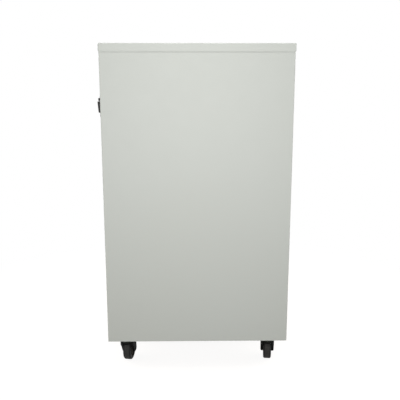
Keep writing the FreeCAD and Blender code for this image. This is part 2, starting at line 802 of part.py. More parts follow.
def input_stud(x, z, lug_count):
    """A front stud with its nut run down on the lugs."""
    bolt = stud(x, z, block_front, stud_back, stud_radius, stud_reach, -1)
    nut = placed(hexagon(stud_nut_width, stud_nut_height), ALONG_Y, Vector(x, block_front - lug_count * lug_sheet, z))
    return bolt.fuse(nut)


stud_back = rail_front + terminal_block_depth + link_bar_thickness
case_inner_back = rail_front + module_depth - case_sheet
rear_row = case_inner_back - cell_gap - cell_length / 2
front_row = rear_row - cell_length - row_gap
for module in range(module_count):
    low = rack_bottom + module * module_pitch
    seat = shelf_levels[module]
    half = module_width / 2
    case_top = seat + module_height - case_sheet
    case = box(-half, half, rail_front, rail_front + module_depth, seat, case_top)
    case = case.cut(box(-half + case_sheet, half - case_sheet, rail_front, case_inner_back,
                        seat + case_sheet, case_top))
    for step in range(case_vent_count):
        x = (step - (case_vent_count - 1) / 2) * (vent_length / 2 + vent_pitch)
        case = case.cut(box(x - vent_length / 4, x + vent_length / 4, case_inner_back, case_inner_back + case_sheet,
                            case_top - 2 * vent_pitch, case_top - 2 * vent_pitch + vent_width))
    save("battery_%d_case" % (module + 1), [case])
    lids.append(box(-half, half, rail_front, rail_front + module_depth, case_top, case_top + case_sheet))

    panel_low = low + rack_panel_play
    panel_high = low + module_pitch - rack_panel_play
    panel_half = rack_panel_width / 2
    panel = box(-panel_half, panel_half, panel_front, rail_front, panel_low, panel_high)
    cell_top = seat + case_sheet + cell_height
    stud_z = cell_top + link_bar_thickness / 2
    middle = (panel_low + panel_high) / 2
    button_level = middle - power_button_drop
    cuts = []
    for side in (-1, 1):
        x = side * terminal_x
        window = terminal_block_side / 2 + fit_gap
        cuts.append(box(x - window, x + window, panel_front, rail_front, stud_z - window, stud_z + window))
        for z in ear_heights[2 * module:2 * module + 2]:
            x = side * rack_hole_spacing / 2
            cuts.append(box(x - ear_slot_length / 2, x + ear_slot_length / 2, panel_front, rail_front,
                            z - screw_radius - screw_clearance, z + screw_radius + screw_clearance))
        x = port_x + side * port_spacing / 2
        cuts.append(box(x - port_width / 2, x + port_width / 2, panel_front, rail_front,
                        button_level - port_height / 2, button_level + port_height / 2))
        socket = box(x - port_width / 2, x + port_width / 2,
                     panel_front - port_proud, panel_front - port_proud + port_depth,
                     button_level - port_height / 2, button_level + port_height / 2)
        mouth = box(x - port_width / 2 + port_wall, x + port_width / 2 - port_wall,
                    panel_front - port_proud, panel_front - port_proud + port_recess,
                    button_level - port_height / 2 + port_wall, button_level + port_height / 2 - port_wall)
        ports.append(socket.cut(mouth))
    cuts.append(rod(Vector(power_button_x, panel_front, button_level), Y_AXIS,
                    power_button_radius + power_button_clearance, rack_panel_sheet))
    front_panels.append(panel.cut(Part.makeCompound(cuts)))
    knob = rod(Vector(power_button_x, panel_front - power_button_proud, button_level), Y_AXIS,
               power_button_radius, power_button_length)
    save("battery_%d_power_button" % (module + 1), [knob])

    for side in (-1, 1):
        path = [
            (panel_front, middle - handle_height / 2),
            (panel_front - handle_reach, middle - handle_height / 2),
            (panel_front - handle_reach, middle + handle_height / 2),
            (panel_front, middle + handle_height / 2),
        ]
        bar = placed(folded(path, handle_bar, handle_bend, handle_width), ALONG_X,
                     Vector(side * handle_setout - handle_width / 2, 0, 0))
        handles.append(bar)
        x = side * terminal_x
        blocks[side].append(terminal(x, stud_z, block_front, -1))
        studs.append(input_stud(x, stud_z, 1 if module == 0 else 2))
        bar_low = cell_top
        lead = box(x - link_bar_width / 2, x + link_bar_width / 2,
                   stud_back, front_row - cell_length / 2 + link_bar_end,
                   bar_low, bar_low + link_bar_thickness)
        cell_links.append(lead)

    pitch = cell_width + cell_gap
    for row, centre in enumerate((front_row, rear_row)):
        for place in range(cells_per_row):
            x = (place - (cells_per_row - 1) / 2) * pitch
            cells.append(box(x - cell_width / 2, x + cell_width / 2,
                             centre - cell_length / 2, centre + cell_length / 2,
                             seat + case_sheet, cell_top))
            if place == cells_per_row - 1:
                continue
            end = 1 if (place + row) % 2 == 0 else -1
            y = centre + end * (cell_length / 2 - link_bar_end)
            cell_links.append(box(x - link_bar_width / 2, x + pitch + link_bar_width / 2,
                                  y - link_bar_width / 2, y + link_bar_width / 2,
                                  cell_top, cell_top + link_bar_thickness))

    board_y = rail_front + board_standoff
    board = box(-board_half_width, board_half_width, board_y, board_y + board_sheet,
                middle - board_height, middle)
    for x in (-board_half_width + standoff_inset, board_half_width - standoff_inset):
        for z in (middle - standoff_inset, middle - board_height + standoff_inset):
            half_side = standoff_side / 2
            board = board.fuse(box(x - half_side, x + half_side, rail_front, board_y, z - half_side, z + half_side))
    boards.append(board)
save("battery_lids", lids)
save("battery_front_panels", front_panels)
save("battery_handles", handles)
save("battery_cells", cells)
save("bms_boards", boards)
save("data_ports", ports)

# Distribution unit: a chassis with its own front panel, the main breaker, busbars and the output studs
unit_seat = shelf_levels[module_count]
half = module_width / 2
unit_top = unit_seat + distribution_height
unit_back = rail_front + distribution_depth
unit_low = distribution_bottom + rack_panel_play
unit_high = distribution_bottom + distribution_units * rack_unit_height - rack_panel_play
unit_middle = (unit_low + unit_high) / 2
chassis = box(-half, half, rail_front, unit_back, unit_seat, unit_top)
chassis = chassis.fuse(box(-rack_panel_width / 2, rack_panel_width / 2, panel_front, rail_front, unit_low, unit_high))
chassis = chassis.cut(box(-half + case_sheet, half - case_sheet, rail_front, unit_back - case_sheet,
                          unit_seat + case_sheet, unit_top - case_sheet))
chassis_cuts = []
for side in (-1, 1):
    x = side * terminal_x
    window = terminal_block_side / 2 + fit_gap
    chassis_cuts.append(box(x - window, x + window, panel_front, rail_front,
                            unit_middle - window, unit_middle + window))
    x = side * output_spacing / 2
    chassis_cuts.append(box(x - window, x + window, unit_back - case_sheet, unit_back,
                            unit_middle - window, unit_middle + window))
    x = side * rack_hole_spacing / 2
    chassis_cuts.append(box(x - ear_slot_length / 2, x + ear_slot_length / 2, panel_front, rail_front,
                            ear_heights[-1] - screw_radius - screw_clearance,
                            ear_heights[-1] + screw_radius + screw_clearance))
window_x = breaker_width / 2 + breaker_window_gap
window_z = breaker_height / 2 + breaker_window_gap
chassis_cuts.append(box(-window_x, window_x, panel_front, rail_front, unit_middle - window_z, unit_middle + window_z))
chassis = chassis.cut(Part.makeCompound(chassis_cuts)).removeSplitter()
save("distribution_chassis", [chassis])

breaker_front = panel_front - breaker_proud
breaker = box(-breaker_width / 2, breaker_width / 2, breaker_front, breaker_front + breaker_depth,
              unit_middle - breaker_height / 2, unit_middle + breaker_height / 2)
breaker = breaker.cut(box(-toggle_slot_length / 2, toggle_slot_length / 2,
                          breaker_front, breaker_front + toggle_slot_depth,
                          unit_middle - toggle_slot_height / 2, unit_middle + toggle_slot_height / 2))
toggle_y = breaker_front + toggle_pivot_depth
toggle_pin = rod(Vector(0, toggle_y, unit_middle - toggle_slot_height / 2), Z_AXIS,
                 toggle_pin_radius, toggle_slot_height)
save("main_breaker_body", [breaker.fuse(toggle_pin)])

# Breaker toggle: a hub on a cross pin with a lever, at rest to the left in the off position
toggle_low = unit_middle - toggle_width / 2
hub = rod(Vector(0, toggle_y, toggle_low), Z_AXIS, toggle_pivot_radius, toggle_width)
lever = box(-toggle_neck / 2, toggle_neck / 2, toggle_y - toggle_reach, toggle_y,
            toggle_low, toggle_low + toggle_width)
toggle = hub.fuse(lever)
toggle.rotate(Vector(0, toggle_y, 0), Z_AXIS, -toggle_rest_angle)
toggle_bore = toggle_pin_radius + toggle_pin_clearance
toggle = toggle.cut(rod(Vector(0, toggle_y, toggle_low), Z_AXIS, toggle_bore, toggle_width))
save("main_breaker_toggle", [toggle])

output_front = unit_back + terminal_block_proud
busbars = []
for side in (-1, 1):
    x = side * terminal_x
    blocks[side].append(terminal(x, unit_middle, block_front, -1))
    studs.append(input_stud(x, unit_middle, 1))
    out_x = side * output_spacing / 2
    blocks[side].append(terminal(out_x, unit_middle, output_front, 1))
    output_back = output_front - terminal_block_proud - rack_panel_sheet - terminal_block_depth
    studs.append(stud(out_x, unit_middle, output_front, output_back, output_stud_radius, output_stud_length, 1))
    breaker_back = breaker_front + breaker_depth
    low = unit_middle - busbar_width / 2
    high = unit_middle + busbar_width / 2
    inner_x = out_x - side * busbar_thickness / 2
    to_output = box(min(inner_x, inner_x + side * busbar_thickness), max(inner_x, inner_x + side * busbar_thickness),
                    breaker_back, output_back, low, high)
    if side > 0:
        busbars.append(to_output)
        across = box(breaker_width / 2, x + busbar_thickness / 2, stud_back, stud_back + busbar_thickness, low, high)
        busbars.append(across)
    else:
        start = box(x - busbar_thickness / 2, breaker_width / -2, stud_back, stud_back + busbar_thickness, low, high)
        busbars.append(to_output)
        busbars.append(start)
save("distribution_busbars", busbars)

# Link cables: from each terminal up to the next, with a lug at both ends that leans into the bend
levels = [shelf_levels[module] + case_sheet + cell_height + link_bar_thickness / 2 for module in range(module_count)]
levels.append(unit_middle)
lugs = []
cables = {1: [], -1: []}
lug_seat = block_front
cable_y = lug_seat - lug_barrel_width / 2
barrel_start = lug_palm


def lug(x, z, angle, layer):
    """A flat palm slotted over the stud, and a six-sided crimped barrel. Angle is measured from +Z towards +X."""
    y = lug_seat - layer * lug_sheet
    palm = box(-lug_width / 2, lug_width / 2, y - lug_sheet, y, -lug_heel, lug_palm)
    gap = stud_radius + lug_slot_clearance
    palm = palm.cut(box(-gap, gap, y - lug_sheet, y, -lug_heel, gap))
    barrel = hexagon(lug_barrel_width, lug_barrel_length)
    barrel.translate(Vector(0, cable_y, barrel_start))
    shape = palm.fuse(barrel)
    shape.rotate(Vector(0, 0, 0), Y_AXIS, angle)
    shape.translate(Vector(x, 0, z))
    return shape


for side in (-1, 1):
    x = side * terminal_x
    for lower, upper in zip(levels, levels[1:]):
        half_rise = (upper - lower) / 2
        bow = half_rise * math.tan(math.radians(cable_lean))
        lugs.append(lug(x, lower, -side * cable_lean, 0))
        lugs.append(lug(x, upper, 180 + side * cable_lean, 0 if upper == unit_middle else 1))
        start = Vector(x, cable_y, lower)
        middle = Vector(x - side * bow, cable_y, lower + half_rise)
        end = Vector(x, cable_y, upper)
        way = (middle - start).normalize()
        back = (middle - end).normalize()
        first = start + way * (barrel_start + lug_barrel_length)
        last = end + back * (barrel_start + lug_barrel_length)
        run = (middle - first).Length
        bend = cable_bend_share * run / math.tan(math.radians(cable_lean))
        path = Part.Wire(rounded_edges([first, middle, last], [bend]))
        disc = Part.Wire(Part.makeCircle(cable_radius, first, way))
        tube = path.makePipeShell([disc], True, False)
        cables[side].append(tube)
save("cable_lugs", lugs)
save("link_cables_positive", cables[1])
save("link_cables_negative", cables[-1])
save("terminal_blocks_positive", blocks[1])
save("terminal_blocks_negative", blocks[-1])
save("terminal_studs", studs)
save("cell_busbars", cell_links)

# Screws for the rear panel and for the modules' ears
screws = []
for side in (-1, 1):
    for z in panel_screw_heights:
        screws.append(screw(Vector(side * panel_screw_x, stop_y + rear_sheet, z), TO_REAR))
    for z in plate_screw_heights:
        screws.append(screw(Vector(side * panel_screw_x, gland_seat, z), TO_REAR))
    for z in ear_heights:
        screws.append(screw(Vector(side * rack_hole_spacing / 2, panel_front, z), ALONG_Y))
save("fixing_screws", screws)

# Casters: stem and nut on the cabinet, a hooded fork that swivels and a wheel that spins
fork_top = caster_height - stem_play - cup_height - crown_gap
fork_lip = fork_top - fork_lip_drop
plate_low = fork_top - fork_plate
rim = wheel_width / 2
hub_end = rim + wheel_hub_overhang
cheek_inner = hub_end + axle_play


def caster_fork():
    """A moulded hood over the wheel, round about the swivel axis, with a cheek down to each end of the axle."""
    tail = caster_trail + fork_foot_radius
    plan = rod(Vector(0, 0, 0), Z_AXIS, fork_half_width, fork_top)
    plan = plan.fuse(box(0, tail, -fork_half_width, fork_half_width, 0, fork_top)).removeSplitter()
    top_edges = [edge for edge in plan.Edges if edge.CenterOfMass.z > fork_top - fit_gap]
    plan = plan.makeFillet(fork_edge_radius, top_edges)
    lip_end = Vector(-fork_half_width, fork_lip, 0)
    foot_end = Vector(caster_trail - fork_foot_radius, wheel_radius, 0)
    run = foot_end - lip_end
    hollow = (lip_end + foot_end) / 2 + Vector(-run.y, run.x, 0).normalize() * fork_front_hollow
    corners_behind = [
        foot_end,
        Vector(caster_trail + fork_foot_radius, wheel_radius, 0),
        Vector(fork_tail, fork_top, 0),
        Vector(-fork_half_width, fork_top, 0),
        lip_end,
    ]
    lean = Part.Wire([Part.Arc(lip_end, hollow, foot_end).toShape(), Part.makePolygon(corners_behind)])
    side = placed(Part.Face(lean).extrude(Vector(0, 0, 2 * fork_half_width)), ALONG_Y, Vector(0, fork_half_width, 0))
    foot = rod(Vector(caster_trail, -fork_half_width, wheel_radius), Y_AXIS, fork_foot_radius, 2 * fork_half_width)
    ends = [edge for edge in foot.Edges if edge.BoundBox.YLength < fit_gap]
    foot = foot.makeFillet(fork_edge_radius, ends)
    hood = plan.common(side.fuse(foot)).removeSplitter()
    foot_low = wheel_radius - fork_foot_radius
    for way in (-1, 1):
        taper = Part.Face(Part.makePolygon([
            Vector(-fork_half_width, way * fork_half_width, foot_low + fork_foot_taper),
            Vector(-fork_half_width, way * fork_half_width, foot_low),
            Vector(-fork_half_width, way * (fork_half_width - fork_foot_taper), foot_low),
            Vector(-fork_half_width, way * fork_half_width, foot_low + fork_foot_taper),
        ]))
        hood = hood.cut(taper.extrude(Vector(fork_half_width + tail, 0, 0)))
    slot = box(-fork_half_width, tail, -cheek_inner, cheek_inner, 0, fork_lip)
    arch = rod(Vector(caster_trail, -cheek_inner, wheel_radius), Y_AXIS,
               wheel_radius + fork_wheel_room, 2 * cheek_inner)
    hood = hood.cut(slot.fuse(arch))
    for way in (-1, 1):
        face = Vector(caster_trail, way * fork_half_width, wheel_radius)
        recess = rod(face, Y_AXIS * -way, axle_head_radius + axle_head_room, axle_head_height + axle_head_recess)
        hood = hood.cut(recess)
    axle_end = fork_half_width - axle_head_recess
    axle = rod(Vector(caster_trail, -axle_end, wheel_radius), Y_AXIS, axle_radius, 2 * axle_end)
    heads = []
    for way in (-1, 1):
        end_face = Vector(caster_trail, way * axle_end, wheel_radius)
        heads.append(rod(end_face, Y_AXIS * -way, axle_head_radius, axle_head_height))
    cup = rod(Vector(0, 0, fork_top), Z_AXIS, cup_radius, cup_height)
    fork = hood.multiFuse([cup, axle] + heads)
    stem_hole = rod(Vector(0, 0, plate_low), Z_AXIS, stem_radius + stem_clearance, cup_height + fork_plate)
    head_room = rod(Vector(0, 0, wheel_radius + axle_radius), Z_AXIS, stem_head_radius + fit_gap,
                    plate_low - wheel_radius - axle_radius)
    return fork.cut(stem_hole).cut(head_room)


def caster_wheel():
    """A disc with round shoulders, a dished web on each side and a hub that stands out to the cheeks."""
    bore = axle_radius + axle_clearance
    profile = [
        (bore, -hub_end),
        (wheel_hub_radius, -hub_end),
        (wheel_hub_radius, -rim + wheel_recess_depth),
        (wheel_recess_outer, -rim + wheel_recess_depth),
        (wheel_recess_outer, -rim),
        (wheel_radius, -rim),
    ]
    profile += [(r, -h) for r, h in reversed(profile)]
    wheel = outline(profile).revolve(Vector(0, 0, 0), Y_AXIS, 360)
    shoulders = [edge for edge in wheel.Edges if abs(edge.BoundBox.XLength - 2 * wheel_radius) < fit_gap
                 and edge.BoundBox.YLength < fit_gap]
    wheel = wheel.makeFillet(wheel_edge_radius, shoulders)
    wheel.translate(Vector(caster_trail, 0, wheel_radius))
    return wheel


stem = rod(Vector(0, 0, plate_low - stem_play), Z_AXIS, stem_radius,
           floor_top + pad_thickness + stem_thread_length - plate_low)
collar_low = fork_top + cup_height + stem_play
collar = hexagon(stem_hex_width, underside - collar_low)
collar.translate(Vector(0, 0, collar_low))
head = rod(Vector(0, 0, plate_low - stem_play - stem_head_height), Z_AXIS, stem_head_radius, stem_head_height)
stem = stem.multiFuse([collar, head])
nut_bore = rod(Vector(0, 0, 0), Z_AXIS, stem_radius + stem_clearance, stem_nut_height)
nut = hexagon(stem_nut_width, stem_nut_height).cut(nut_bore)
stems = []
nuts = []
for number, (side, end) in enumerate(corners):
    spot = Vector(side * caster_x, end * caster_y, 0)
    swing = front_caster_turn if end < 0 else rear_caster_turn
    turn = 180 - swing if side > 0 else -swing
    rotation = FreeCAD.Rotation(Z_AXIS, turn)
    save("caster_fork_%d" % (number + 1), [placed(caster_fork(), rotation, spot)])
    wheel = caster_wheel()
    wheel.Placement = FreeCAD.Placement(spot, rotation).multiply(wheel.Placement)
    save("caster_wheel_%d" % (number + 1), [wheel])
    stems.append(placed(stem, FreeCAD.Rotation(), spot))
    nuts.append(placed(nut, FreeCAD.Rotation(), spot + Vector(0, 0, floor_top + pad_thickness)))
save("caster_stems", stems)
save("caster_nuts", nuts)
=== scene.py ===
import json
import math

import bmesh
import bpy
import numpy as np
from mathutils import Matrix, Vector


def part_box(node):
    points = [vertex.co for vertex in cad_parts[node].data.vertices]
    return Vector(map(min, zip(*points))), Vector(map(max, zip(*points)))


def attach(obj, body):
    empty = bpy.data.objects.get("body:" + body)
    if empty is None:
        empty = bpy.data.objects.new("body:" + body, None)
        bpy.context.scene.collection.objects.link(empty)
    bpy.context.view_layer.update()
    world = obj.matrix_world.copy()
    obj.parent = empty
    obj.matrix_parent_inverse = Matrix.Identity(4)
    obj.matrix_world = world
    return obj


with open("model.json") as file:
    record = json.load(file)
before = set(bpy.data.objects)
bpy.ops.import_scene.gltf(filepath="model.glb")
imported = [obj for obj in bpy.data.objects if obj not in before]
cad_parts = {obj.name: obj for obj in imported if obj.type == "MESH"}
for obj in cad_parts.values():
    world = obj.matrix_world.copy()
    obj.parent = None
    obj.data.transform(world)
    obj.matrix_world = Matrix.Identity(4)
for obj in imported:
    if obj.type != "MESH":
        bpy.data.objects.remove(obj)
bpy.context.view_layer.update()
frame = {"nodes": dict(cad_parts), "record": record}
nodes = frame["nodes"]

# The look of a pale powder-coated battery cabinet around its CAD frame. Metres; +Z is up and the door faces
# -Y. Colours are written as a viewer would read them on a screen, from 0 to 1, and turned into linear light.
PAINT = (0.803, 0.818, 0.796)
PAINT_WARM = (0.797, 0.809, 0.782)
MODULE_GREY = (0.205, 0.212, 0.222)
ZINC = (0.735, 0.745, 0.755)
NICKEL = (0.80, 0.795, 0.78)
LOCK_BLACK = (0.070, 0.070, 0.072)
BARREL_CHROME = (0.17, 0.17, 0.175)
PLASTIC_BLACK = (0.125, 0.125, 0.128)
CASTER_BLACK = (0.050, 0.052, 0.047)
CROWN_PAINTED_LIGHT = (0.215, 0.225, 0.21)
TYRE_BLACK = (0.085, 0.085, 0.085)
TREAD_DUST_AND_LIGHT = (0.225, 0.222, 0.215)
WHEEL_CORE = (0.225, 0.205, 0.185)
RED = (0.70, 0.075, 0.06)
RED_JACKET = (0.62, 0.06, 0.055)
COPPER = (0.80, 0.53, 0.40)
COPPER_TARNISH = (0.58, 0.33, 0.22)
CELL_BLUE = (0.13, 0.33, 0.62)
BOARD_GREEN = (0.05, 0.33, 0.18)
BREAKER_WHITE = (0.86, 0.86, 0.84)
BLACK = (0.0, 0.0, 0.0, 1.0)
WHITE = (1.0, 1.0, 1.0, 1.0)

MICRON = 0.000001
DEEP_BLACK_SPECULAR = 0.15
FORK_SPECULAR = 0.07


def linear(colour):
    """A screen colour as linear light: the standard curve, a power of 2.4 with a straight foot."""
    lit = [c / 12.92 if c <= 0.04045 else ((c + 0.055) / 1.055) ** 2.4 for c in colour]
    return (*lit, 1.0)


def shade(colour, factor):
    """A lighter or darker form of a colour."""
    return tuple(min(1.0, c * factor) for c in colour)


class Wiring:
    """A node tree, and a short way to add a node to it."""

    def __init__(self, tree):
        self.tree = tree

    def add(self, kind, inputs=None, **settings):
        """A new node with its settings made, each input joined to a socket or set to a value."""
        node = self.tree.nodes.new(kind)
        for key, value in settings.items():
            setattr(node, key, value)
        for key, value in (inputs or {}).items():
            if isinstance(value, bpy.types.NodeSocket):
                self.tree.links.new(value, node.inputs[key])
            else:
                node.inputs[key].default_value = value
        return node

    def calculate(self, operation, *inputs):
        """The result of one operation on sockets or values."""
        return self.add("ShaderNodeMath", dict(enumerate(inputs)), operation=operation).outputs["Value"]


class Finish(Wiring):
    """One material: a principled shader with chains of nodes that vary its colour, gloss and relief."""

    def __init__(self, name, colour, roughness, metal=0.0):
        self.name = name
        self.material = bpy.data.materials.new(name)
        self.material.use_nodes = True
        super().__init__(self.material.node_tree)
        self.shader = self.tree.nodes["Principled BSDF"]
        self.colour = linear(colour)
        self.even("Base Color", self.colour)
        self.even("Roughness", roughness)
        self.even("Metallic", metal)
        self.colour_end = None
        self.relief_end = None
        self.place = self.add("ShaderNodeTexCoord").outputs["Object"]

    def even(self, socket, value):
        """A value that is the same all over, on the shader's own socket."""
        self.shader.inputs[socket].default_value = value

    def drive(self, socket, out):
        """A value that varies over the surface, from the end of a chain of nodes."""
        self.tree.links.new(out, self.shader.inputs[socket])

    def noise(self, lumps, detail, stretch=None):
        """Cloudy noise with so many lumps to the metre, drawn out along an axis where stretch is given."""
        place = self.place
        if stretch:
            place = self.add("ShaderNodeMapping", {"Scale": stretch, "Vector": place}).outputs["Vector"]
        inputs = {"Scale": lumps, "Detail": detail, "Vector": place}
        return self.add("ShaderNodeTexNoise", inputs).outputs["Fac"]

    def spread(self, value, low, high, start=0.3, end=0.7):
        """A value between start and end, spread over low to high and held at both ends."""
        ends = {"From Min": start, "From Max": end, "To Min": low, "To Max": high, "Value": value}
        return self.add("ShaderNodeMapRange", ends).outputs["Result"]

    def tint(self, share, colour):
        """Mixes another colour in, by a share from 0 to 1."""
        under = self.colour if self.colour_end is None else self.colour_end
        inputs = {"A": under, "B": linear(colour), "Factor": share}
        self.colour_end = self.add("ShaderNodeMix", inputs, data_type="RGBA").outputs["Result"]
        self.drive("Base Color", self.colour_end)

    def clouds(self, colour, most, lumps, detail, start=0.3, end=0.7):
        """Mixes another colour in as clouds, up to the share most."""
        self.tint(self.spread(self.noise(lumps, detail), 0.0, most, start, end), colour)

    def gloss(self, low, high, lumps, detail):
        """Lets roughness wander between two values."""
        self.drive("Roughness", self.spread(self.noise(lumps, detail), low, high))

    def relief(self, value, microns, strength):
        """Relief of a height in thousandths of a millimetre, stacked on any relief that is there already."""
        inputs = {"Strength": strength, "Distance": microns * MICRON, "Height": value}
        if self.relief_end is not None:
            inputs["Normal"] = self.relief_end
        self.relief_end = self.add("ShaderNodeBump", inputs).outputs["Normal"]
        self.drive("Normal", self.relief_end)

    def grain(self, microns, strength, lumps, detail, stretch=None):
        """Relief from noise."""
        self.relief(self.noise(lumps, detail, stretch), microns, strength)


def powder_coat(name, colour, warm, roughness):
    """Baked powder: an even colour with slow drift, a grain below a millimetre and a trace of orange peel."""
    f = Finish(name, colour, roughness)
    f.clouds(warm, most=0.6, lumps=2.2, detail=1.0)
    f.clouds(shade(colour, 0.93), most=0.20, lumps=1500.0, detail=1.0)
    f.gloss(roughness - 0.02, roughness + 0.02, lumps=35.0, detail=3.0)
    f.grain(microns=30, strength=0.5, lumps=1300.0, detail=1.5)
    f.grain(microns=50, strength=0.35, lumps=240.0, detail=0.0)
    return f


def zinc_plate(name):
    """Zinc on sheet steel: bluish grey with faint crystals, rolling lines and cloudy gloss."""
    f = Finish(name, ZINC, 0.38, metal=1.0)
    crystals = f.add("ShaderNodeTexVoronoi", {"Scale": 140.0, "Vector": f.place}).outputs["Color"]
    tone = f.add("ShaderNodeSeparateColor", {"Color": crystals}).outputs["Red"]
    f.tint(f.spread(tone, 0.0, 0.35, start=0.0, end=1.0), shade(ZINC, 0.86))
    f.clouds(shade(ZINC, 1.07), most=0.4, lumps=9.0, detail=3.0)
    f.gloss(0.32, 0.47, lumps=30.0, detail=3.0)
    f.grain(microns=40, strength=0.35, lumps=260.0, detail=2.0, stretch=(1.0, 1.0, 0.04))
    return f


def plated_steel(name, colour, low, high):
    """Machined and plated steel: fine turning lines under a bright coat, with a few dull spots."""
    f = Finish(name, colour, low, metal=1.0)
    f.clouds(shade(colour, 0.8), most=0.35, lumps=220.0, detail=2.0)
    f.gloss(low, high, lumps=90.0, detail=3.0)
    f.grain(microns=30, strength=0.3, lumps=900.0, detail=1.0, stretch=(1.0, 1.0, 6.0))
    return f


def satin_enamel(name, colour, roughness, specular):
    """Satin enamel on a casting or pressing: smooth with slight waves, and lighter rubbed spots."""
    f = Finish(name, colour, roughness)
    f.even("Specular IOR Level", specular)
    f.clouds(shade(colour, 1.7), most=0.35, lumps=55.0, detail=4.0, start=0.5, end=0.75)
    f.gloss(roughness - 0.07, roughness + 0.09, lumps=70.0, detail=3.0)
    f.grain(microns=40, strength=0.35, lumps=420.0, detail=1.0)
    return f


# Where painted light and a painted shadow line lie on the caster forks, by height above the floor
LIP_SHADOW_HEIGHT = 0.0745
LIP_SHADOW_HALF_WIDTH = 0.0018
LIP_SHADOW_FADE = 0.0008
CROWN_PAINTED_LIGHT_START = 0.0775
CROWN_PAINTED_LIGHT_FULL = 0.0805


def fork_enamel(name):
    """Enamel on the caster forks: satin and almost black, with painted light on the crown, which makes it
    lighter, and a thin painted shadow line below it, along the hood's lip. Both are found by the height above
    the floor."""
    f = satin_enamel(name, CASTER_BLACK, 0.68, FORK_SPECULAR)
    height = f.add("ShaderNodeSeparateXYZ", {"Vector": f.place}).outputs["Z"]
    # Painted light: the crown, and the cup above it, are tinted lighter grey
    f.tint(f.spread(height, 0.0, 0.85, start=CROWN_PAINTED_LIGHT_START, end=CROWN_PAINTED_LIGHT_FULL), CROWN_PAINTED_LIGHT)
    # Painted shadow: a thin near-black line just below the hood's lip, where its shade falls on the fork
    from_lip = f.calculate("ABSOLUTE", f.calculate("SUBTRACT", height, LIP_SHADOW_HEIGHT))
    lip_shadow_end = LIP_SHADOW_HALF_WIDTH + LIP_SHADOW_FADE
    lip_shadow = f.spread(from_lip, 0.9, 0.0, start=LIP_SHADOW_HALF_WIDTH, end=lip_shadow_end)
    f.tint(lip_shadow, shade(CASTER_BLACK, 0.2))
    return f


def moulded_plastic(name, colour, roughness):
    """Moulded plastic with a spark-eroded grain, a little lighter where it catches dust."""
    f = Finish(name, colour, roughness)
    f.clouds(shade(colour, 1.25), most=0.3, lumps=28.0, detail=4.0, start=0.45, end=0.8)
    f.gloss(roughness - 0.06, roughness + 0.08, lumps=120.0, detail=2.0)
    f.grain(microns=40, strength=0.6, lumps=1900.0, detail=1.0)
    return f


def cable_jacket(name, colour):
    """A rubbery jacket with faint extrusion lines along the run and a soft sheen."""
    f = Finish(name, colour, 0.5)
    f.clouds(shade(colour, 0.72), most=0.4, lumps=60.0, detail=3.0)
    f.gloss(0.42, 0.6, lumps=150.0, detail=2.0)
    f.grain(microns=50, strength=0.5, lumps=700.0, detail=1.0, stretch=(1.0, 1.0, 0.05))
    f.even("Sheen Weight", 0.08)
    return f


def soft_rubber(name, colour):
    """Solid rubber: matt and even, with fine pores."""
    f = Finish(name, colour, 0.72)
    f.clouds(shade(colour, 1.35), most=0.5, lumps=45.0, detail=4.0)
    f.gloss(0.62, 0.8, lumps=160.0, detail=2.0)
    f.grain(microns=60, strength=0.5, lumps=1100.0, detail=2.0)
    return f


def copper_bar(name):
    """Rolled copper: bright with brown tarnish in clouds and fine rolling lines."""
    f = Finish(name, COPPER, 0.3, metal=1.0)
    f.clouds(COPPER_TARNISH, most=0.5, lumps=30.0, detail=4.0)
    f.gloss(0.24, 0.45, lumps=60.0, detail=3.0)
    f.grain(microns=40, strength=0.4, lumps=500.0, detail=1.0, stretch=(1.0, 0.05, 1.0))
    return f


def cell_film(name):
    """Blue shrink film over an aluminium can: glossy, faintly wrinkled."""
    f = Finish(name, CELL_BLUE, 0.3)
    f.clouds(shade(CELL_BLUE, 0.75), most=0.35, lumps=18.0, detail=3.0)
    f.gloss(0.22, 0.4, lumps=50.0, detail=2.0)
    f.grain(microns=400, strength=0.3, lumps=75.0, detail=2.0, stretch=(1.0, 1.0, 0.25))
    f.even("Coat Weight", 0.4)
    f.even("Coat Roughness", 0.15)
    return f


def circuit_board(name):
    """Green solder mask over copper tracks, which show as lighter lines at right angles."""
    f = Finish(name, BOARD_GREEN, 0.35)
    stand_up = {"Rotation": (math.radians(90), 0.0, 0.0), "Vector": f.place}
    upright = f.add("ShaderNodeMapping", stand_up).outputs["Vector"]
    grid = {"Scale": 130.0, "Mortar Size": 0.06, "Color1": BLACK, "Color2": BLACK, "Mortar": WHITE}
    tracks = f.add("ShaderNodeTexBrick", {**grid, "Vector": upright}).outputs["Color"]
    f.tint(f.spread(tracks, 0.0, 0.7, start=0.0, end=1.0), shade(BOARD_GREEN, 1.6))
    f.gloss(0.28, 0.42, lumps=90.0, detail=2.0)
    f.relief(tracks, microns=50, strength=0.6)
    return f


finishes = {finish.name: finish for finish in (
    powder_coat("cabinet_paint", PAINT, PAINT_WARM, 0.52),
    zinc_plate("zinc_steel"),
    powder_coat("module_paint", MODULE_GREY, shade(MODULE_GREY, 1.1), 0.55),
    plated_steel("bright_steel", NICKEL, 0.22, 0.38),
    satin_enamel("black_lock", LOCK_BLACK, 0.36, DEEP_BLACK_SPECULAR),
    plated_steel("chrome_barrel", BARREL_CHROME, 0.16, 0.3),
    moulded_plastic("black_plastic", PLASTIC_BLACK, 0.5),
    fork_enamel("caster_steel"),
    soft_rubber("wheel_rubber", TYRE_BLACK),
    moulded_plastic("red_plastic", RED, 0.45),
    cable_jacket("red_jacket", RED_JACKET),
    cable_jacket("black_jacket", PLASTIC_BLACK),
    copper_bar("copper"),
    cell_film("cell_aluminium"),
    circuit_board("circuit_board"),
    soft_rubber("buffer_rubber", PLASTIC_BLACK),
    moulded_plastic("breaker_plastic", BREAKER_WHITE, 0.4),
)}
for part in frame["record"]["subparts"]:
    nodes[part["node"]].material_slots[0].material = finishes[part["material_slot"]].material

# Pieces made here are grids of points, in which points closer together than this become one
MERGE_DISTANCE = 1e-6


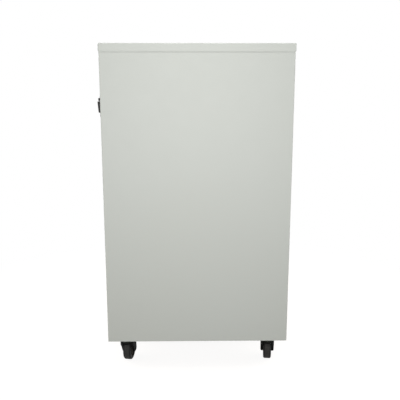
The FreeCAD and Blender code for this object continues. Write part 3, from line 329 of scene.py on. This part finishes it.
def skin(name, x, y, z, body, finish):
    """Quads over grids of points. The last two axes of x, y and z are a grid's rows and columns, and those
    before count its copies. Columns close round; a row that shrinks to a point closes an end, and where none
    does, the rows close round too."""
    grids = np.stack(np.broadcast_arrays(x, y, z), axis=-1)
    rows, columns = grids.shape[-3:-1]
    points = grids.reshape(-1, rows, columns, 3)
    number = np.arange(len(points) * rows * columns).reshape(-1, rows, columns)
    ring = np.ptp(points[0, 0], axis=0).max() > MERGE_DISTANCE
    here = number if ring else number[:, :-1]
    above = np.roll(number, -1, axis=1) if ring else number[:, 1:]
    quads = np.stack([here, np.roll(here, -1, axis=2), np.roll(above, -1, axis=2), above], axis=-1)
    mesh = bpy.data.meshes.new(name)
    mesh.from_pydata(points.reshape(-1, 3).tolist(), [], quads.reshape(-1, 4).tolist())
    shell = bmesh.new()
    shell.from_mesh(mesh)
    bmesh.ops.remove_doubles(shell, verts=shell.verts, dist=MERGE_DISTANCE)
    bmesh.ops.recalc_face_normals(shell, faces=shell.faces)
    shell.to_mesh(mesh)
    shell.free()
    mesh.polygons.foreach_set("use_smooth", np.ones(len(mesh.polygons), dtype=bool))
    mesh.materials.append(finish.material)
    piece = bpy.data.objects.new(name, mesh)
    bpy.context.collection.objects.link(piece)
    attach(piece, body)


def around(count):
    """Angles of a full turn, without the last one, which is the first again."""
    return np.linspace(0.0, 2.0 * np.pi, count, endpoint=False)


def middle(node):
    """The middle of a CAD node's box."""
    low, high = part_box(node)
    return (low + high) / 2


# Casters: each wheel's finish is laid round its own axle, and its dished web gets radial ribs. The rim's face
# and the ends of the tread's dust and painted light are distances along the axle, from the wheel's middle.
WHEEL_RIM = 0.01325
CORE_RADIUS = 0.026
CORE_EDGE = 0.0003
DUST_AND_LIGHT_FULL = 0.0065
DUST_AND_LIGHT_GONE = 0.0105
HUB_RADIUS = 0.011
WEB_DEPTH = 0.005
RIB_COUNT = 8
RIB_SIDES = 16
RIB_POWER = 0.5
RIB_HALF_WIDTH = 0.0013
RIB_BELOW_RIM = 0.001
RIB_FOOT_BITE = 0.0005
RIB_END_BITE = 0.0006
RIB_TIP_BITE = 0.0008
ACROSS_AXLE = (1.0, 0.0, 1.0)


def caster_tyre(name, axle, turn):
    """A wheel: a dark rubber tyre with a grey band in the middle of the tread, of dust where it rolls and of
    painted light, round a brownish plastic core. The band is found by the distance along the axle, and the
    core by the distance from it."""
    f = Finish(name, TYRE_BLACK, 0.62)
    f.even("Specular IOR Level", DEEP_BLACK_SPECULAR)
    laid = {"Location": axle, "Rotation": (0.0, 0.0, turn), "Vector": f.place}
    place = f.add("ShaderNodeMapping", laid, vector_type="TEXTURE").outputs["Vector"]
    flat = f.add("ShaderNodeVectorMath", {0: place, 1: ACROSS_AXLE}, operation="MULTIPLY").outputs["Vector"]
    radius = f.add("ShaderNodeVectorMath", {0: flat}, operation="LENGTH").outputs["Value"]
    aside = f.calculate("ABSOLUTE", f.add("ShaderNodeSeparateXYZ", {"Vector": place}).outputs["Y"])
    tread_dust_and_light = f.spread(aside, 1.0, 0.0, start=DUST_AND_LIGHT_FULL, end=DUST_AND_LIGHT_GONE)
    patches = f.spread(f.noise(lumps=130.0, detail=4.0), 0.7, 1.0)
    core = f.spread(radius, 1.0, 0.0, start=CORE_RADIUS - CORE_EDGE, end=CORE_RADIUS + CORE_EDGE)
    f.clouds(shade(TYRE_BLACK, 1.5), most=0.4, lumps=80.0, detail=3.0)
    # Dust and painted light: the middle of the tread is made lighter grey in patches, the shoulders stay dark
    f.tint(f.calculate("MULTIPLY", tread_dust_and_light, patches), TREAD_DUST_AND_LIGHT)
    f.tint(core, WHEEL_CORE)
    f.gloss(0.55, 0.72, lumps=140.0, detail=2.0)
    f.grain(microns=60, strength=0.5, lumps=900.0, detail=2.0)
    return f


def wheel_ribs(name, axle, turn, body, finish):
    """Ribs from hub to rim on both faces. Each is a rounded block: row by row it runs out from the hub, its
    ends pinched to a point inside the solid, and column by column it goes once round a squared-off oval, a
    power of the cosine by a power of the sine. The ribs are turned about the axle in equal steps."""
    reach = np.array([HUB_RADIUS - RIB_TIP_BITE, HUB_RADIUS - RIB_END_BITE,
                      CORE_RADIUS + RIB_END_BITE, CORE_RADIUS + RIB_TIP_BITE])[:, None]
    pinch = np.array([0.0, 1.0, 1.0, 0.0])[:, None]
    v = around(RIB_SIDES)
    oval_x = np.sign(np.cos(v)) * np.abs(np.cos(v)) ** RIB_POWER
    oval_y = np.sign(np.sin(v)) * np.abs(np.sin(v)) ** RIB_POWER
    low = WHEEL_RIM - WEB_DEPTH - RIB_FOOT_BITE
    high = WHEEL_RIM - RIB_BELOW_RIM
    wide = pinch * oval_x * RIB_HALF_WIDTH
    tall = (low + high) / 2 + pinch * oval_y * (high - low) / 2
    side = np.array([1.0, -1.0])[:, None, None, None]
    angle = around(RIB_COUNT)[:, None, None]
    out = reach * np.cos(angle) - wide * np.sin(angle)
    along = side * tall
    x = axle[0] + out * np.cos(turn) - along * np.sin(turn)
    y = axle[1] + out * np.sin(turn) + along * np.cos(turn)
    z = axle[2] + reach * np.sin(angle) + wide * np.cos(angle)
    skin(name, x, y, z, body, finish)


for joint in frame["record"]["behaviour"]["joints"]:
    if joint["name"].endswith("_spin"):
        body = joint["child"]
        number = body.split("_")[1]
        turn = math.atan2(-joint["axis"][0], joint["axis"][1])
        tyre = caster_tyre("caster_tyre_" + number, joint["pos_m"], turn)
        nodes["caster_wheel_" + number].material_slots[0].material = tyre.material
        wheel_ribs("wheel_ribs_" + number, joint["pos_m"], turn, body, tyre)

# Cable glands: the dome nut of each has finger grips
GLAND_DOME_RADIUS = 0.018
GLAND_DOME_TAPER = 4.0 / 22.0
GRIP_COUNT = 18
GRIP_SIDES = 8
GRIP_ROWS = 9
GRIP_FADE = 6
GRIP_START = 0.0008
GRIP_LENGTH = 0.015
GRIP_VALLEY = 0.0002
GRIP_RIDGE = 0.0011
GRIP_BITE = 0.0006


def gland_grips():
    """A sleeve on each dome nut, whose foot is at the gland's mount in the record. Its outside is the nut's
    cone plus a ridge that rises and falls with the cosine of GRIP_COUNT times the angle and fades out at both
    ends; its inside lies in the nut."""
    glands = [mount["pos_m"] for mount in frame["record"]["mounts"] if mount["kind"] == "bore"]
    x, foot, z = np.array(glands).T[:, :, None, None]
    theta = around(GRIP_COUNT * GRIP_SIDES)
    run = np.linspace(0.0, 1.0, GRIP_ROWS)[:, None]
    ridge = GRIP_VALLEY + GRIP_RIDGE * np.sqrt(0.5 + 0.5 * np.cos(GRIP_COUNT * theta))
    cone = GLAND_DOME_RADIUS - GLAND_DOME_TAPER * (GRIP_START + run * GRIP_LENGTH)
    outside = cone + ridge * (1.0 - (2.0 * run - 1.0) ** GRIP_FADE)
    inside = np.broadcast_to(cone[::-1] - GRIP_BITE, outside.shape)
    radius = np.concatenate([outside, inside])
    y = foot + GRIP_START + np.concatenate([run, run[::-1]]) * GRIP_LENGTH
    skin("gland_grips", x + radius * np.cos(theta), y, z + radius * np.sin(theta), "cabinet",
         finishes["black_plastic"])


gland_grips()

# Battery modules, one above the other: the trim on each is placed from the floor of its case
cases = sorted(name for name in nodes if name.startswith("battery_") and name.endswith("_case"))
module_floor = np.array([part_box(case)[0].z for case in cases])

# Link cables: a shrunk sleeve over each lug's barrel and the start of its cable
TERMINAL_X = 0.1778
TERMINAL_ABOVE_FLOOR = 0.1207
CABLE_LEAN = math.radians(9.0)
BARREL_END = 0.027
BARREL_COVER = 0.0079
CABLE_COVER = 0.0064
SLEEVE_START = 0.0145
SLEEVE_END = 0.0375
SLEEVE_ROWS = 28
SLEEVE_SIDES = 24
SLEEVE_STEP_LEAD = 0.001
SLEEVE_STEP_LENGTH = 0.005
SLEEVE_INSIDE = 0.0056
WRINKLE_HEIGHT = 0.00012
WRINKLE_RADIANS_PER_METRE = 1900.0


def lug_sleeves(side, slot):
    """A sleeve of revolution about each lug's leaning axis. Its outside goes from the barrel's cover radius
    down to the cable's in a smooth step, with three shallow wrinkles; its inside lies in the cable. A cable
    runs up from each module's terminal to the next one's, and from the last to the breaker."""
    terminal = module_floor + TERMINAL_ABOVE_FLOOR
    above = np.append(terminal[1:], middle("main_breaker_body").z)
    lean_up = np.full(len(terminal), CABLE_LEAN * -side)
    lean_down = np.full(len(terminal), np.pi + CABLE_LEAN * side)
    level = np.concatenate([terminal, above])[:, None, None]
    lean = np.concatenate([lean_up, lean_down])[:, None, None]
    theta = around(SLEEVE_SIDES)
    run = np.linspace(SLEEVE_START, SLEEVE_END, SLEEVE_ROWS)
    step = np.clip((run - BARREL_END + SLEEVE_STEP_LEAD) / SLEEVE_STEP_LENGTH, 0.0, 1.0)
    ease = step * step * (3.0 - 2.0 * step)
    wrinkle = WRINKLE_HEIGHT * np.sin((run - BARREL_END) * WRINKLE_RADIANS_PER_METRE) * ease
    outside = BARREL_COVER + (CABLE_COVER - BARREL_COVER) * ease + wrinkle
    radius = np.concatenate([outside, np.full(SLEEVE_ROWS, SLEEVE_INSIDE)])[:, None]
    reach = np.concatenate([run, run[::-1]])[:, None]
    aside = radius * np.cos(theta)
    x = side * TERMINAL_X + reach * np.sin(lean) + aside * np.cos(lean)
    y = middle("cable_lugs").y + radius * np.sin(theta)
    z = level + reach * np.cos(lean) - aside * np.sin(lean)
    skin("lug_sleeves_" + slot, x, y, z, "cabinet", finishes[slot])


lug_sleeves(1, "red_jacket")
lug_sleeves(-1, "black_jacket")

# Front panels: a row of small state lamps beside each power button
LAMP_ABOVE_FLOOR = 0.0745
LAMP_FIRST_X = 0.084
LAMP_PITCH = 0.009
LAMP_COUNT = 6
LAMP_SIDES = 20
LAMP_ROWS = 7
LAMP_RADIUS = 0.0021
LAMP_BULGE = 0.0012
LAMP_BITE = 0.001


def state_lamps():
    """Lenses in the panels: a shallow dome, whose height falls with the square of the distance from its
    middle, closed behind by a flat back that lies in the sheet."""
    panel_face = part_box("battery_front_panels")[0].y
    theta = around(LAMP_SIDES)
    share = np.linspace(0.0, 1.0, LAMP_ROWS)
    radius = (np.concatenate([share, [1.0, 0.0]]) * LAMP_RADIUS)[:, None]
    height = np.concatenate([LAMP_BULGE * (1.0 - share ** 2), [-LAMP_BITE, -LAMP_BITE]])[:, None]
    first = LAMP_FIRST_X + LAMP_PITCH * np.arange(LAMP_COUNT)[:, None, None]
    level = (module_floor + LAMP_ABOVE_FLOOR)[:, None, None, None]
    skin("state_lamps", first + radius * np.cos(theta), panel_face - height, level + radius * np.sin(theta),
         "cabinet", finishes["breaker_plastic"])


state_lamps()

# Floor and world: white where they are seen, with the object's shadow on the floor
FLOOR_HALF = 14.0
FLOOR_ALBEDO = (0.190, 0.172, 0.155)
FLOOR_LIFT = 0.90
SHADOW_INNER = 0.65
SHADOW_OUTER = 1.30
WORLD_LIGHT = 0.19


class Stage(Wiring):
    """Node tree of the floor or the world, with the background that camera, mirrors and glass see."""

    def __init__(self, owner):
        owner.use_nodes = True
        super().__init__(owner.node_tree)
        self.tree.nodes.clear()

    def seen_directly(self):
        """1 for rays from the camera, a mirror or glass, 0 for the rays that light the object."""
        path = self.add("ShaderNodeLightPath").outputs
        seen_or_mirrored = self.calculate("MAXIMUM", path["Is Camera Ray"], path["Is Glossy Ray"])
        return self.calculate("MAXIMUM", seen_or_mirrored, path["Is Transmission Ray"])

    def mixed(self, share, first, second):
        """Two shaders mixed, by the second one's share."""
        return self.add("ShaderNodeMixShader", {0: share, 1: first, 2: second}).outputs[0]


def studio_floor():
    """Pale floor. Where it is seen, it is lifted towards white near the object, which leaves the shadow, and
    turns plain white further out."""
    material = bpy.data.materials.new("studio_floor")
    stage = Stage(material)
    diffuse = stage.add("ShaderNodeBsdfDiffuse", {"Color": (*FLOOR_ALBEDO, 1.0)}).outputs[0]
    lift = stage.add("ShaderNodeEmission", {"Strength": FLOOR_LIFT}).outputs[0]
    near = stage.add("ShaderNodeAddShader", {0: diffuse, 1: lift}).outputs[0]
    white = stage.add("ShaderNodeEmission").outputs[0]
    place = stage.add("ShaderNodeTexCoord").outputs["Object"]
    distance = stage.add("ShaderNodeVectorMath", {0: place}, operation="LENGTH").outputs["Value"]
    ring = {"From Min": SHADOW_INNER, "From Max": SHADOW_OUTER, "Value": distance}
    far = stage.add("ShaderNodeMapRange", ring, interpolation_type="SMOOTHSTEP").outputs["Result"]
    surface = stage.mixed(stage.seen_directly(), diffuse, stage.mixed(far, near, white))
    stage.add("ShaderNodeOutputMaterial", {"Surface": surface})
    return material


def studio_world():
    """Soft even light from all round, and a white background where it is seen."""
    world = bpy.data.worlds.new("studio")
    stage = Stage(world)
    soft = stage.add("ShaderNodeBackground", {"Color": WHITE, "Strength": WORLD_LIGHT}).outputs[0]
    white = stage.add("ShaderNodeBackground", {"Color": WHITE, "Strength": 1.0}).outputs[0]
    stage.add("ShaderNodeOutputWorld", {"Surface": stage.mixed(stage.seen_directly(), soft, white)})
    bpy.context.scene.world = world


floor_mesh = bpy.data.meshes.new("floor")
floor_corners = np.array([[-1, -1, 0], [1, -1, 0], [1, 1, 0], [-1, 1, 0]], float) * FLOOR_HALF
floor_mesh.from_pydata(floor_corners.tolist(), [], [[0, 1, 2, 3]])
floor_mesh.materials.append(studio_floor())
floor = bpy.data.objects.new("floor", floor_mesh)
bpy.context.collection.objects.link(floor)
studio_world()


def aim(thing, direction):
    """Turns a lamp or a camera so that it looks along a direction."""
    thing.rotation_mode = "QUATERNION"
    thing.rotation_quaternion = direction.to_track_quat("-Z", "Y")


def softbox(name, place, target, width, height, power):
    """A rectangular lamp that faces a target, with its power in watts."""
    lamp = bpy.data.lights.new(name, "AREA")
    lamp.shape = "RECTANGLE"
    lamp.size = width
    lamp.size_y = height
    lamp.energy = power
    holder = bpy.data.objects.new(name, lamp)
    holder.location = place
    aim(holder, Vector(target) - Vector(place))
    bpy.context.collection.objects.link(holder)


# Lamps: one ahead of the side in the photograph, one over its cover, and three large ones for the rest
FILL_PLACES = {"fill_front": (-0.3, -3.0, 1.9), "fill_back": (-0.3, 3.0, 1.9), "fill_far": (-3.0, 0.0, 1.9)}
softbox("key", (1.90, -0.02, 0.83), target=(0.3, 0.0, 0.98), width=1.0, height=0.5, power=18.2)
softbox("top", (0.47, 0.0, 1.64), target=(0.42, 0.0, 1.00), width=0.3, height=0.05, power=2.1)
for name, place in FILL_PLACES.items():
    softbox(name, place, target=(0.0, 0.0, 0.6), width=3.2, height=2.8, power=68.0)

# Camera, where the photograph was taken from. Angles are in radians, the lens and its sensor in millimetres.
CAMERA_X = 2.1303
CAMERA_Y = -0.0197
CAMERA_ABOVE_CABINET_FLOOR = 0.8729
CAMERA_YAW = -0.0152
CAMERA_PITCH = 0.2086
FOCAL_LENGTH = 52.70
SENSOR_WIDTH = 36.0
NEAREST_SEEN = 0.05
lens = bpy.data.cameras.new("photo_view")
lens.lens = FOCAL_LENGTH
lens.sensor_width = SENSOR_WIDTH
lens.clip_start = NEAREST_SEEN
camera = bpy.data.objects.new("photo_view", lens)
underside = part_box("base_frame")[0][2]
camera.location = (CAMERA_X, CAMERA_Y, underside + CAMERA_ABOVE_CABINET_FLOOR)
flat = math.cos(CAMERA_PITCH)
aim(camera, -Vector((math.cos(CAMERA_YAW) * flat, math.sin(CAMERA_YAW) * flat, math.sin(CAMERA_PITCH))))
bpy.context.collection.objects.link(camera)
bpy.context.scene.camera = camera

bpy.context.scene.view_settings.view_transform = "Standard"
